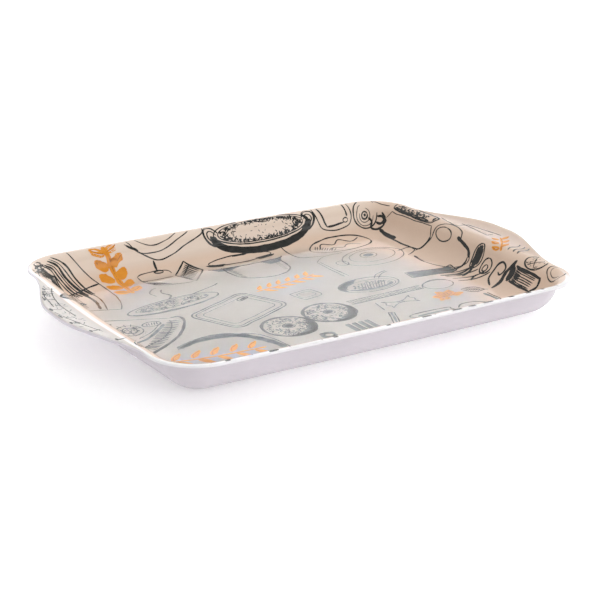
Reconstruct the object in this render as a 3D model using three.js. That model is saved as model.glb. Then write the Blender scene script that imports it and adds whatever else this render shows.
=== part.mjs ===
import * as THREE from 'three';

// Moulded serving tray with two lifting handles. Millimetres, Z up, origin on the table under the
// centre. X runs from handle to handle, Y across the tray. The tray is one white moulding with a
// printed sheet and a clear glaze pressed onto its upper face, each a layer of its own.

const rim = {
  height: 33, // finished upper edge of the long sides
  halfLength: 200, // without the handles
  halfWidth: 153.2,
  cornerRadius: 40,
  cornerTaper: 0.9, // how fast the corners tighten towards the floor
  tightestCorner: 2, // the corners under the floor tighten no further than this
  sideBow: 3.4, // outward bow of the long sides at their middle
};

const handle = {
  reach: 27.6, // how far the handle's middle stands out past the rim line
  rise: 3.1, // how far its outer edge curves up
  halfFlat: 9.8, // half the stretch that reaches all the way out
  halfFoot: 112.4, // where the handle runs back into the rim
};

const crest = { inset: 1.5, radius: 13, share: 0.1 }; // rounded fold between the rim and the wall
const wall = { lean: 22, thickness: 3.4 }; // lean in degrees from upright
const floor = { top: 3.4, filletRadius: 26 }; // finished upper face and its sweep into the wall
const foot = { width: 7, slope: 1.5, depth: 0.6 }; // standing ring under the floor
const edgeRound = 0.6; // softened corner of the lip

const layerGap = 0.3; // clearance between two pressed layers
const layer = 0.3; // thickness of the printed sheet and of the glaze
const sheetDepth = layer + layerGap; // finished face down to the top of the printed sheet
const bodyDepth = 2 * (layer + layerGap); // finished face down to the top of the moulding

const steps = { end: 14, side: 4, corner: 6 }; // columns along each stretch of the outline
const crestAngles = [0, 23, 46, 90 - wall.lean]; // from level to the wall's slope
const filletAngles = [wall.lean, 39, 56, 73, 90]; // from the wall's slope to level
const handleSteps = [1, 0.72, 0.45]; // rings across the handle, as shares of its reach

const rad = THREE.MathUtils.degToRad;

// Where the wall's sweep meets the flat of the floor, measured in from the rim line.
const floorInset = (() => {
  const lean = rad(wall.lean);
  const crestFoot = rim.height - crest.radius * (1 - Math.sin(lean));
  const filletHead = floor.top + floor.filletRadius * (1 - Math.sin(lean));
  const straight = (crestFoot - filletHead) * Math.tan(lean);
  return crest.inset + (crest.radius + floor.filletRadius) * Math.cos(lean) + straight;
})();

// How much of the handle stands out at a place along the end: 1 in the middle, 0 past its foot.
function handleShape(y) {
  return 1 - THREE.MathUtils.smoothstep(Math.abs(y), handle.halfFlat, handle.halfFoot);
}

// Rounded rectangle in from the rim line, anticlockwise from the lower right. Each point also
// says how far round the end of the tray it lies, from 0 on a long side to 1 on a short one.
function plainOutline(inset) {
  const a = rim.halfLength - inset;
  const b = rim.halfWidth - inset;
  const r = Math.max(rim.cornerRadius - inset * rim.cornerTaper, rim.tightestCorner);
  const points = [];
  for (let quarter = 0; quarter < 4; quarter++) {
    const onEnd = quarter % 2 === 0;
    const count = onEnd ? steps.end : steps.side;
    const flip = quarter < 2 ? 1 : -1;
    for (let i = 0; i < count; i++) {
      const along = (2 * i) / count - 1;
      const x = onEnd ? flip * a : -flip * along * (a - r);
      const y = onEnd ? flip * along * (b - r) : flip * b;
      points.push({ x, y, end: onEnd ? 1 : 0 });
    }
    const turn = [[1, 1], [-1, 1], [-1, -1], [1, -1]][quarter];
    for (let i = 0; i < steps.corner; i++) {
      const angle = (quarter + i / steps.corner) * (Math.PI / 2);
      points.push({
        x: turn[0] * (a - r) + r * Math.cos(angle),
        y: turn[1] * (b - r) + r * Math.sin(angle),
        end: Math.abs(Math.cos(angle)),
      });
    }
  }
  return points;
}

// One closed loop of the tray's surface, bowed along the sides and drawn out into the handles.
function ring({ inset, height, share }) {
  const lift = Math.max(0, (share - crest.share) / (1 - crest.share)) ** 2;
  return plainOutline(inset).map(({ x, y, end }) => {
    const bow = rim.sideBow * (1 - (x / rim.halfLength) ** 2) * (Math.abs(y) / rim.halfWidth);
    const out = handleShape(y) * end;
    return new THREE.Vector3(
      x + Math.sign(x) * handle.reach * share * out,
      y + Math.sign(y) * bow,
      height + handle.rise * lift * out,
    );
  });
}

// The surface a given depth below the finished upper face, from the floor out to the rim's edge.
function layerRings(depth, edgeInset) {
  const rings = filletAngles.map((degrees) => ({
    inset: floorInset - (floor.filletRadius + depth) * Math.cos(rad(degrees)),
    height: floor.top + floor.filletRadius - (floor.filletRadius + depth) * Math.sin(rad(degrees)),
    share: crest.share,
  })).reverse();
  for (const degrees of [...crestAngles].reverse()) {
    rings.push({
      inset: crest.inset + (crest.radius - depth) * Math.sin(rad(degrees)),
      height: rim.height - crest.radius + (crest.radius - depth) * Math.cos(rad(degrees)),
      share: crest.share,
    });
  }
  for (const share of [...handleSteps].reverse()) {
    const outward = (share - crest.share) / (1 - crest.share);
    rings.push({
      inset: crest.inset + (edgeInset - crest.inset) * outward,
      height: rim.height - depth,
      share,
    });
  }
  return rings;
}

// Skin a stack of rings into one closed body: flat in the middle above and below.
function closedBody(rings) {
  const loops = rings.map(ring);
  const count = loops[0].length;
  const positions = [];
  loops.forEach((loop) => loop.forEach((p) => positions.push(p.x, p.y, p.z)));
  const topCentre = loops.length * count;
  const bottomCentre = topCentre + 1;
  positions.push(0, 0, rings[0].height, 0, 0, rings[rings.length - 1].height);

  const index = [];
  const last = (loops.length - 1) * count;
  for (let j = 0; j < count; j++) {
    const next = (j + 1) % count;
    index.push(topCentre, j, next);
    index.push(bottomCentre, last + next, last + j);
    for (let i = 0; i < last; i += count) {
      index.push(i + j, i + count + j, i + count + next);
      index.push(i + j, i + count + next, i + next);
    }
  }
  const geometry = new THREE.BufferGeometry();
  geometry.setAttribute('position', new THREE.Float32BufferAttribute(positions, 3));
  geometry.setIndex(index);
  geometry.computeVertexNormals();
  return geometry;
}

// White moulding: floor, wall, rim and both handles in one piece, with a standing ring below.
function bodyGeometry() {
  const upper = layerRings(bodyDepth, edgeRound);
  const lip = [
    { inset: 0, height: rim.height - bodyDepth - edgeRound, share: 1 },
    { inset: 0, height: rim.height - wall.thickness + edgeRound, share: 1 },
  ];
  const under = layerRings(wall.thickness, edgeRound).reverse();
  const contact = under[under.length - 1];
  const ringInner = contact.inset + foot.width;
  const standing = [
    { ...contact, height: 0 },
    { ...contact, inset: ringInner, height: 0 },
    { ...contact, inset: ringInner + foot.slope, height: foot.depth },
  ];
  return closedBody([...upper, ...lip, ...under.slice(0, -1), ...standing]);
}

// A thin pressed layer that covers the whole upper face out to the rim's edge.
function pressedLayer(depth) {
  const upper = layerRings(depth, edgeRound);
  const under = layerRings(depth + layer, edgeRound).reverse();
  return closedBody([...upper, ...under]);
}

function addPiece(group, name, geometry, finish) {
  const mesh = new THREE.Mesh(geometry, new THREE.MeshStandardMaterial(finish));
  mesh.name = name;
  group.add(mesh);
}

const tray = new THREE.Group();
addPiece(tray, 'tray_body', bodyGeometry(), { color: 0xf1eef3, roughness: 0.22, metalness: 0 });
addPiece(tray, 'printed_foil', pressedLayer(sheetDepth), {
  color: 0xc9b5a2,
  roughness: 0.35,
  metalness: 0,
});
addPiece(tray, 'clear_glaze', pressedLayer(0), {
  color: 0xffffff,
  roughness: 0.06,
  metalness: 0,
  transparent: true,
  opacity: 0.15,
});

export default tray;
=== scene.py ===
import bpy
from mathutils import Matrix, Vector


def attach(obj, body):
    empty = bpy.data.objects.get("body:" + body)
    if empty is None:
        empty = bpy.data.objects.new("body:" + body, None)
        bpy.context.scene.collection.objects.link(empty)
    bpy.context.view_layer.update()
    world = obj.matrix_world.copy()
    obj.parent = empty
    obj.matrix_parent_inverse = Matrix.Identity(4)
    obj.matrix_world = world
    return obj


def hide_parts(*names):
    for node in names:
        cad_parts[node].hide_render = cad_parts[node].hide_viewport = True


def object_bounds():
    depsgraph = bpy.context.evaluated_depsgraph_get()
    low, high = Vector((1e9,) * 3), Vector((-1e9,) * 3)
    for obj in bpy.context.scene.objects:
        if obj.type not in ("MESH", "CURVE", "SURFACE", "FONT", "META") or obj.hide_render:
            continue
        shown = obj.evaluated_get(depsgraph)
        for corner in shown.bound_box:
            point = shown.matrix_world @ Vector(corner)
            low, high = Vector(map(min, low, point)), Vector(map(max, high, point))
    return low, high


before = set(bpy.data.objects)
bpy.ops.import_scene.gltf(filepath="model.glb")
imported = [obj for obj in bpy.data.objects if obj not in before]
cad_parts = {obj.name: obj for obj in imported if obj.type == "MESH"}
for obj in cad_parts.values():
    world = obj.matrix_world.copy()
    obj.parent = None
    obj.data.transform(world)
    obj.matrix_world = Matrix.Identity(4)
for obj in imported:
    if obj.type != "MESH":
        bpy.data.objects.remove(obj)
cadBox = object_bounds()

import copy
import math
import random

import bpy
from mathutils import Vector

mm = 0.001
highest = cadBox[1]


class Wire:
    # a node's socket that can stand in a plain sum
    def __init__(self, graph, socket):
        self.graph, self.socket = graph, socket

    def maths(self, operation, *values):
        return self.graph.node("ShaderNodeMath", {"operation": operation}, dict(enumerate(values)))

    def __add__(self, other):
        return self.maths("ADD", self, other)

    def __sub__(self, other):
        return self.maths("SUBTRACT", self, other)

    def __rsub__(self, other):
        return self.maths("SUBTRACT", other, self)

    def __mul__(self, other):
        return self.maths("MULTIPLY", self, other)

    def __truediv__(self, other):
        return self.maths("DIVIDE", self, other)

    def __mod__(self, other):
        return self.maths("FLOORED_MODULO", self, other)

    def __pow__(self, other):
        return self.maths("POWER", self, other)

    __radd__ = __add__
    __rmul__ = __mul__

    def least(self, other):
        return self.maths("MINIMUM", self, other)

    def most(self, other):
        return self.maths("MAXIMUM", self, other)

    def also(self, output):
        return Wire(self.graph, self.socket.node.outputs[output])


class Graph:
    def __init__(self, tree):
        self.tree = tree

    # a node's kind, then its settings, then what goes into its sockets
    def node(self, kind, settings=None, sockets=None, output=0):
        made = self.tree.nodes.new(kind)
        for name, value in (settings or {}).items():
            if name == "stops":
                ramp = made.color_ramp
                while len(ramp.elements) < len(value):
                    ramp.elements.new(1)
                for element, (place, colour) in zip(ramp.elements, value):
                    element.position, element.color = place, (*colour, 1)
            else:
                setattr(made, name, value)
        for key, value in (sockets or {}).items():
            self.feed(made.inputs[key], value)
        return Wire(self, made.outputs[output])

    def feed(self, socket, value):
        if isinstance(value, Wire):
            self.tree.links.new(value.socket, socket)
        else:
            socket.default_value = value

    def vector(self, x=0.0, y=0.0, z=0.0):
        return self.node("ShaderNodeCombineXYZ", None, {0: x, 1: y, 2: z})

    def parts(self, vector):
        x = self.node("ShaderNodeSeparateXYZ", None, {0: vector})
        return x, x.also(1), x.also(2)

    def vectors(self, operation, *values, output=0):
        return self.node("ShaderNodeVectorMath", {"operation": operation}, dict(enumerate(values)), output)

    def scaled(self, vector, by):
        return self.node("ShaderNodeVectorMath", {"operation": "SCALE"}, {0: vector, 3: by})

    def blendColours(self, share, first, second):
        first, second = [(*c, 1) if isinstance(c, tuple) else c for c in (first, second)]
        return self.node("ShaderNodeMix", {"data_type": "RGBA"}, {0: share, 6: first, 7: second}, 2)

    # a smooth step of a value from one place to another
    def step(self, value, start, stop, low=0.0, high=1.0):
        return self.node("ShaderNodeMapRange", {"interpolation_type": "SMOOTHSTEP"}, {
            "Value": value, "From Min": start, "From Max": stop, "To Min": low, "To Max": high})

    # where a point of the piece is, in metres
    def place(self):
        return self.parts(self.node("ShaderNodeTexCoord", None, None, "Object"))

    def geometryOf(self, chosen):
        return self.node("GeometryNodeObjectInfo", None, {"Object": chosen}, "Geometry")

    # a value that a geometry tree keeps on its points, and how it is read again
    def mark(self, geometry, name, value, kind="FLOAT_VECTOR"):
        return self.node("GeometryNodeStoreNamedAttribute", {"data_type": kind, "domain": "POINT"},
                         {"Geometry": geometry, "Name": name, "Value": value})

    def marked(self, name, kind="FLOAT_VECTOR"):
        return self.node("GeometryNodeInputNamedAttribute", {"data_type": kind}, {"Name": name})

    # a place on the flat sheet, moved into the unit square that a UV map wants
    def flatSpot(self, x, y):
        return self.vector(x * 2 + 0.5, y * 2 + 0.5)


socketKinds = {
    "whole": "NodeSocketInt",
    "size": "NodeSocketFloat",
    "object": "NodeSocketObject",
    "material": "NodeSocketMaterial",
}


def newGeometryTree(name, inputs):
    tree = bpy.data.node_groups.new(name, "GeometryNodeTree")
    tree.interface.new_socket("Geometry", in_out="OUTPUT", socket_type="NodeSocketGeometry")
    for label, kind in inputs.items():
        tree.interface.new_socket(label, in_out="INPUT", socket_type=socketKinds[kind])
    graph = Graph(tree)
    start = tree.nodes.new("NodeGroupInput")
    wires = {label: Wire(graph, start.outputs[label]) for label in inputs}
    return graph, wires


def endGeometryTree(graph, mesh, material):
    outward = graph.node("GeometryNodeFlipFaces", None, {"Mesh": mesh})
    smooth = graph.node("GeometryNodeSetShadeSmooth", None, {"Geometry": outward})
    real = graph.node("GeometryNodeRealizeInstances", None, {0: smooth})
    finished = graph.node("GeometryNodeSetMaterial", None, {"Geometry": real, "Material": material})
    end = graph.tree.nodes.new("NodeGroupOutput")
    graph.tree.links.new(finished.socket, end.inputs[0])
    return graph.tree


def linkObject(name, data):
    made = bpy.data.objects.new(name, data)
    bpy.context.scene.collection.objects.link(made)
    return made


def growFromTree(name, tree, values):
    host = linkObject(name + "Host", bpy.data.meshes.new(name + "Host"))
    modifier = host.modifiers.new(tree.name, "NODES")
    modifier.node_group = tree
    items = tree.interface.items_tree
    identifiers = {item.name: item.identifier for item in items if item.in_out == "INPUT"}
    for label, value in values.items():
        modifier[identifiers[label]] = value
    bpy.context.view_layer.update()
    grown = host.evaluated_get(bpy.context.evaluated_depsgraph_get())
    mesh = bpy.data.meshes.new_from_object(grown)
    bpy.data.objects.remove(host)
    mesh.name = name
    return linkObject(name, mesh)


# The tray's shape in millimetres, the same as the moulded part's.
rim = dict(cornerRadius=40, cornerTaper=0.9, tightestCorner=2, sideBow=3.4, straightShare=0.7)
handle = dict(reach=27.6, rise=3.1, halfFlat=9.8, halfFoot=112.4)
crest = dict(inset=1.5, radius=13, share=0.1)
wall = dict(lean=22, thickness=3.4, lipThickness=2.7)
floor = dict(top=3.4, filletRadius=26)
foot = dict(width=7, slope=1.5, depth=0.6)
decor = dict(depth=0.06, thickness=0.45, bodyDepth=0.3, edge=0.78)
lip = dict(round=0.8, steps=5)
detail = dict(columns=480, floorRings=7, filletSteps=14, crestSteps=12, handleSteps=14)
weldGap = 0.002 * mm
nudge = 0.0001  # keeps a whole number from being rounded down

halfLength = highest.x / mm - handle["reach"]
halfWidth = highest.y / mm - rim["sideBow"]
rimHeight = highest.z / mm - handle["rise"]
lean = math.radians(wall["lean"])
filletRun = floor["filletRadius"] * (math.pi / 2 - lean)
crestFoot = rimHeight - crest["radius"] * (1 - math.sin(lean))
filletHead = floor["top"] + floor["filletRadius"] * (1 - math.sin(lean))
straightRun = (crestFoot - filletHead) / math.cos(lean)
crestRun = filletRun + straightRun + crest["radius"] * (math.pi / 2 - lean)
floorInset = (crest["inset"] + (crest["radius"] + floor["filletRadius"]) * math.cos(lean)
              + (crestFoot - filletHead) * math.tan(lean))


def spreadEvenly(start, stop, count):
    return [start + (stop - start) * i / count for i in range(count + 1)]


# One row of a section: how far in from the rim line, how high, how much of the handle's
# reach it takes, how far it is drawn to the middle, and its way up the wall from the floor.
def row(inset, height, share=None, spread=0, run=0):
    return inset, height, crest["share"] if share is None else share, spread, run


# The upper face from the middle of the floor out to the rim, or a face that lies below it.
def upperRows(depth, edge, rimDepth=None):
    rows = []
    rimDepth = depth if rimDepth is None else rimDepth
    for spread in spreadEvenly(1, 0, detail["floorRings"])[:-1]:
        rows.append(row(floorInset, floor["top"] - depth, spread=spread))
    radius = floor["filletRadius"] + depth
    for angle in spreadEvenly(math.pi / 2, lean, detail["filletSteps"]):
        inset = floorInset - radius * math.cos(angle)
        height = floor["top"] + floor["filletRadius"] - radius * math.sin(angle)
        rows.append(row(inset, height, run=floor["filletRadius"] * (math.pi / 2 - angle)))
    radius = crest["radius"] - rimDepth
    for angle in spreadEvenly(math.pi / 2 - lean, 0, detail["crestSteps"]):
        inset = crest["inset"] + radius * math.sin(angle)
        height = rimHeight - crest["radius"] + radius * math.cos(angle)
        rows.append(row(inset, height, run=crestRun - crest["radius"] * angle))
    for out in spreadEvenly(0, 1, detail["handleSteps"])[1:]:
        inset = crest["inset"] + (edge - crest["inset"]) * out
        share = crest["share"] + (1 - crest["share"]) * out
        rows.append(row(inset, rimHeight - rimDepth, share, run=crestRun + crest["inset"] - inset))
    return rows


def bodyRows():
    rows = upperRows(decor["bodyDepth"], lip["round"])
    top = rimHeight - decor["depth"]
    bottom = rimHeight - wall["lipThickness"]
    for start, stop, level, up in ((0, math.pi / 2, top, -1), (math.pi / 2, 0, bottom, 1)):
        for angle in spreadEvenly(start, stop, lip["steps"]):
            height = level + up * lip["round"] * (1 - math.cos(angle))
            rows.append(row(lip["round"] * (1 - math.sin(angle)), height, 1))
    under = upperRows(wall["thickness"], lip["round"], wall["lipThickness"])[detail["floorRings"]:-1]
    rows += under[::-1]
    inner = floorInset + foot["width"]
    rows.append(row(inner, 0))
    rows.append(row(inner + foot["slope"], foot["depth"]))
    for spread in spreadEvenly(0, 1, detail["floorRings"])[1:]:
        rows.append(row(inner + foot["slope"], foot["depth"], spread=spread))
    return rows


def sheetRows():
    upper = upperRows(decor["depth"], decor["edge"])
    under = upperRows(decor["depth"] + decor["thickness"], decor["edge"])
    return upper + under[::-1]


def sectionObject(name, rows):
    mesh = bpy.data.meshes.new(name)
    mesh.from_pydata([(inset * mm, share, height * mm) for inset, height, share, *flow in rows], [], [])
    flow = mesh.attributes.new("flow", "FLOAT_VECTOR", "POINT")
    for value, (*point, spread, run) in zip(flow.data, rows):
        value.vector = (spread, run * mm, 0)
    return linkObject(name, mesh)


traySizes = {
    "Half length": halfLength, "Half width": halfWidth, "Corner radius": rim["cornerRadius"],
    "Tightest corner": rim["tightestCorner"], "Side bow": rim["sideBow"], "Floor inset": floorInset,
    "Handle reach": handle["reach"], "Handle rise": handle["rise"],
    "Handle flat": handle["halfFlat"], "Handle foot": handle["halfFoot"],
}
trayShares = {"Corner taper": rim["cornerTaper"], "Crest share": crest["share"],
              "Straight share": rim["straightShare"]}
trayInputs = {"Section": "object", "Columns": "whole", "Material": "material",
              **dict.fromkeys([*traySizes, *trayShares], "size")}


# Carries a section round the tray's outline: each side is a straight stretch and the corner
# after it, bowed along the sides and drawn out and up into the handles at the ends.
def trayTree():
    graph, given = newGeometryTree("loftTray", trayInputs)
    section = graph.geometryOf(given["Section"])
    rows = graph.node("GeometryNodeAttributeDomainSize", {"component": "MESH"}, {0: section})
    grid = graph.node("GeometryNodeMeshGrid", None,
                      {"Vertices X": given["Columns"] + 1, "Vertices Y": rows})
    index = graph.node("GeometryNodeInputIndex")
    column = index.maths("FLOOR", index / rows + nudge)

    # what the section says at this row
    def onRow(value):
        settings = {"data_type": "FLOAT_VECTOR", "domain": "POINT"}
        return graph.parts(graph.node("GeometryNodeSampleIndex", settings, {
            "Geometry": section, "Value": value, "Index": index - column * rows}))

    inset, share, height = onRow(graph.node("GeometryNodeInputPosition"))
    spread, run = onRow(graph.marked("flow"))[:2]

    side = column * 4 / given["Columns"]
    quarter = side.maths("FLOOR", side + nudge)
    part = side - quarter
    straight = given["Straight share"]
    along = (part / straight).least(1) * 2 - 1
    turn = (part - straight).most(0) / (1 - straight) * (math.pi / 2)
    cosTurn, sinTurn = turn.maths("COSINE", turn), turn.maths("SINE", turn)
    cosQuarter = turn.maths("COSINE", quarter * (math.pi / 2))
    sinQuarter = turn.maths("SINE", quarter * (math.pi / 2))
    onEnd = 1 - quarter % 2
    end = onEnd * cosTurn + (1 - onEnd) * sinTurn

    def turned(outward, sideways):
        return outward * cosQuarter - sideways * sinQuarter, outward * sinQuarter + sideways * cosQuarter

    def outline(inward):
        a, b = given["Half length"] - inward, given["Half width"] - inward
        r = (given["Corner radius"] - inward * given["Corner taper"]).most(given["Tightest corner"])
        out = onEnd * a + (1 - onEnd) * b - r + r * cosTurn
        across = along * (onEnd * b + (1 - onEnd) * a - r) + r * sinTurn
        x, y = turned(out, across)
        bow = given["Side bow"] * (1 - (x / given["Half length"]) ** 2) * y / given["Half width"]
        return x, y, bow

    x, y, bow = outline(inset)
    out = graph.step(y.maths("ABSOLUTE", y), given["Handle flat"], given["Handle foot"], 1, 0) * end
    lift = ((share - given["Crest share"]) / (1 - given["Crest share"])).most(0) ** 2
    stretch = given["Handle reach"] * out
    newX = (x + x.maths("SIGN", x) * stretch * share) * (1 - spread)
    newY = (y + bow) * (1 - spread)
    newZ = height + given["Handle rise"] * lift * out

    baseX, baseY, baseBow = outline(given["Floor inset"])
    outX, outY = turned(cosTurn, sinTurn)
    reached = run + stretch * (share - given["Crest share"]).most(0)
    flatX = baseX * (1 - spread) + outX * reached
    flatY = (baseY + baseBow) * (1 - spread) + outY * reached
    mapped = graph.mark(grid, "flat", graph.flatSpot(flatX, flatY))
    shaped = graph.node("GeometryNodeSetPosition", None, {
        "Geometry": mapped, "Position": graph.vector(newX, newY, newZ)})
    closed = graph.node("GeometryNodeMergeByDistance", None, {"Geometry": shaped, "Distance": weldGap})
    return endGeometryTree(graph, closed, given["Material"])


def loftTray(name, rows, material):
    section = sectionObject(name + "Section", rows)
    grown = growFromTree(name, trayShape, {
        "Section": section, "Columns": detail["columns"], "Material": material, **trayShares,
        **{label: size * mm for label, size in traySizes.items()}})
    bpy.data.objects.remove(section)
    return grown


trayShape = trayTree()


# The print is drawn as strokes on the flat sheet, in millimetres, then laid over its surface.
brush = dict(boldness=1.25, step=1.4, margin=0.6, spacing=1.25, wobble=0.55, wobbleScale=45.0,
             unevenness=0.55, taper=2.5, keel=0.16)
sketches = {"outline": [], "shadow": [], "orange": [], "amber": [], "slate": []}
hand = random.Random(11)


# How far a place on the flat sheet lies inside the sheet's edge.
def roomOnSheet(x, y):
    a, b = halfLength - floorInset, halfWidth - floorInset
    r = max(rim["cornerRadius"] - floorInset * rim["cornerTaper"], rim["tightestCorner"])
    bow = rim["sideBow"] * (1 - (x / halfLength) ** 2) * b / halfWidth
    across, up = abs(x) - (a - r), abs(y) - bow - (b - r)
    if across <= 0:
        distance, facing = up - r, 0
    elif up <= 0:
        distance, facing = across - r, 1
    else:
        distance, facing = math.hypot(across, up) - r, across / math.hypot(across, up)
    widen = (halfWidth - rim["cornerRadius"]) / (b - r)
    part = (abs(y) * widen - handle["halfFlat"]) / (handle["halfFoot"] - handle["halfFlat"])
    part = min(max(part, 0), 1)
    out = (1 - part * part * (3 - 2 * part)) * facing
    edge = crestRun + crest["inset"] - decor["edge"] + handle["reach"] * (1 - crest["share"]) * out
    return edge - distance


def smoothPath(points, closed, steps=7):
    count = len(points)
    ends = count if closed else count - 1
    path = []
    for i in range(ends):
        near = [points[(i + k) % count if closed else min(max(i + k, 0), count - 1)] for k in (-1, 0, 1, 2)]
        for step in range(steps):
            t = step / steps
            path.append(tuple(0.5 * (2 * b + (c - a) * t + (2 * a - 5 * b + 4 * c - d) * t * t
                                     + (3 * b - a - 3 * c + d) * t ** 3) for a, b, c, d in zip(*near)))
    path.append(points[0] if closed else points[-1])
    return path


class Pen:
    # draws in millimetres in a small frame of its own, placed, turned and sized on the flat sheet
    def __init__(self, x=0, y=0, turn=0, size=1, width=1, kind="outline"):
        self.x, self.y, self.size, self.width, self.kind = x, y, size, width, kind
        self.cos, self.sin = math.cos(math.radians(turn)), math.sin(math.radians(turn))

    # the same pen with another width or for another kind of stroke
    def __call__(self, width=None, kind=None):
        other = copy.copy(self)
        other.width, other.kind = width or self.width, kind or self.kind
        return other

    def line(self, *points, closed=False):
        points = points + points[:1] if closed else points
        placed = [(self.x + self.size * (x * self.cos - y * self.sin),
                   self.y + self.size * (x * self.sin + y * self.cos)) for x, y in points]
        run = []
        for (x0, y0), (x1, y1) in zip(placed, placed[1:]):
            count = max(1, math.ceil(math.hypot(x1 - x0, y1 - y0) / brush["step"]))
            for i in range(count):
                run.append((x0 + (x1 - x0) * i / count, y0 + (y1 - y0) * i / count))
        run.append(placed[-1])
        # only what lies on the sheet is kept
        half = self.width * brush["boldness"] / 2
        kept = []
        for x, y in run:
            if roomOnSheet(x, y) > half + brush["margin"]:
                kept.append((x, y))
            else:
                self.keep(kept, half)
                kept = []
        self.keep(kept, half)

    def keep(self, points, half):
        if len(points) > 1:
            sketches[self.kind].append((points, half))

    def curve(self, *points, closed=False):
        self.line(*smoothPath(points, closed))

    def oval(self, x, y, rx, ry, start=0, stop=360):
        count = max(6, int(abs(stop - start) / 360 * (rx + ry) * self.size * 2))
        angles = [math.radians(a) for a in spreadEvenly(start, stop, count)]
        self.line(*[(x + rx * math.cos(a), y + ry * math.sin(a)) for a in angles])

    # short lines from one edge across to another, each a little off its place
    def ladder(self, first, second, count):
        (ax, ay), (bx, by) = first
        (cx, cy), (dx, dy) = second
        for t in spreadEvenly(0, 1, count):
            s = min(max(t + hand.uniform(-0.25, 0.25) / count, 0), 1)
            self.line((ax + (bx - ax) * t, ay + (by - ay) * t), (cx + (dx - cx) * s, cy + (dy - cy) * s))

    # a filled oval, made of strokes laid side by side
    def patch(self, x, y, rx, ry, width=2, kind="shadow"):
        step = width * 0.8 / self.size
        for up in spreadEvenly(-ry, ry, max(1, round(2 * ry / step))):
            half = rx * math.sqrt(max(0, 1 - (up / ry) ** 2)) - 0.3 * width / self.size
            if half > 0.4:
                self(width, kind).line((x - half, y + up * 0.9), (x + half, y + up * 0.9))

    # short dashes scattered over an oval, between an inner share of it and its edge
    def specks(self, x, y, rx, ry, count, inner=0, length=1.8, width=0.8, kind=None):
        for i in range(count):
            angle = hand.uniform(0, 2 * math.pi)
            out = math.sqrt(hand.uniform(inner * inner, 1))
            cx, cy = x + rx * out * math.cos(angle), y + ry * out * math.sin(angle)
            lean, half = hand.uniform(0, math.pi), length * hand.uniform(0.3, 0.6) / self.size
            dx, dy = half * math.cos(lean), half * math.sin(lean)
            self(width * hand.uniform(0.7, 1.3), kind).line((cx - dx, cy - dy), (cx + dx, cy + dy))


def roundedBox(pen, w, h, corner, width=None):
    points = []
    for turn, cx, cy in ((0, w, h), (90, -w, h), (180, -w, -h), (270, w, -h)):
        for angle in spreadEvenly(turn, turn + 90, 5):
            a = math.radians(angle)
            points.append((cx - math.copysign(corner, cx) + corner * math.cos(a),
                           cy - math.copysign(corner, cy) + corner * math.sin(a)))
    pen(width).line(*points, closed=True)


def donut(pen, r=23.5):
    pen(2.6).oval(0, 0, r, r * 0.98, -40, 322)
    pen.specks(0, 0, r * 0.92, r * 0.9, 70, inner=0.5, length=4.4, width=1.5, kind="slate")
    pen.patch(0, 1.4, 5.4, 4.6, kind="slate")
    pen(0.8).oval(0.6, 0.4, r - 2.2, r - 2.4, 200, 400)
    pen(1).oval(0, 1, 5.5, 5)
    pen.patch(0, 1.4, 4.6, 3.8, width=1.8)
    pen.specks(0, 0, r * 0.86, r * 0.84, 130, inner=0.36, length=3.4, width=1.1)
    for k in range(7):
        shade = pen(1.2, "slate" if k > 3 else None)
        shade.oval(0, 0, r - 0.8 - 1.1 * k, r - 0.8 - k, -120 + 6 * k, 30 - 8 * k)


def whisk(pen):
    for half in (3, 7, 11):
        pen.curve((-1.5, 0), (-half, 14), (-half * 0.9, 26), (0, 34), (half * 0.9, 26), (half, 14),
                  (1.5, 0))
    for y in (-2, -4):
        pen(1.4).line((-2.4, y), (2.4, y))
    pen.curve((-2, -4), (-2.6, -20), (0, -27), (2.6, -20), (2, -4))
    pen(1.6, "shadow").line((0.6, -8), (0.8, -22))


def spoon(pen):
    pen(1.1).oval(0, 14, 7, 10)
    pen.curve((-1.2, 4.5), (-1.4, -10), (-2.4, -24), (0, -29), (2.4, -24), (1.4, -10), (1.2, 4.5))
    pen(1).oval(0.8, 13.5, 4.6, 7.4, -70, 60)


def mushroom(pen):
    pen.curve((-13, 0), (-12, 8), (-4, 15), (5, 15), (12, 8), (13, 0))
    pen.curve((-13, 0), (-6, -3), (6, -3), (13, 0))
    pen.curve((-3.5, -2), (-4, -11), (-5, -15), (0, -17), (5, -15), (4, -11), (3.5, -2))
    pen(0.7).ladder(((-9, 0), (9, 0)), ((-3.5, -2.4), (3.5, -2.4)), 9)
    pen.specks(0, 7, 9, 5, 12, length=1.6)


def leaf(pen, half=5, long=18):
    for side in (half, -half):
        pen.curve((0, 0), (side, long * 0.35), (side * 0.8, long * 0.7), (0, long))
    pen.line((0, -3), (0, long * 0.86))
    for t in spreadEvenly(0.2, 0.7, 5):
        for side in (half, -half):
            pen(0.7).line((0, long * t), (side * 0.62, long * (t + 0.12)))


# a stem with pairs of brushed blades, each with a darker rib
def sprig(x, y, turn, size, pairs, width=4.6, step=10, long=13, lean=48):
    stem = Pen(x, y, turn, size, width * 0.55, "orange")
    top = pairs * step
    stem.curve((0, 0), (1.6, top * 0.5), (0, top + 2))
    stem(0.8, "amber").curve((0.6, 1), (2.1, top * 0.5), (0.6, top))
    for k in range(pairs):
        for side in (1, -1):
            up = size * (3 + k * step + (2.5 if side > 0 else 0))
            blade = Pen(x - up * stem.sin, y + up * stem.cos, turn - side * lean, size, width, "orange")
            blade.curve((0, 2), (0.8 * side, long * 0.5), (0, long))
            blade(width * 0.6).curve((0, 3), (-1.3 * side, long * 0.5), (0, long + 1.6))
            blade(0.9, "amber").curve((0.3, 2), (1.6 * side, long * 0.55), (0.2, long + 0.4))


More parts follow.
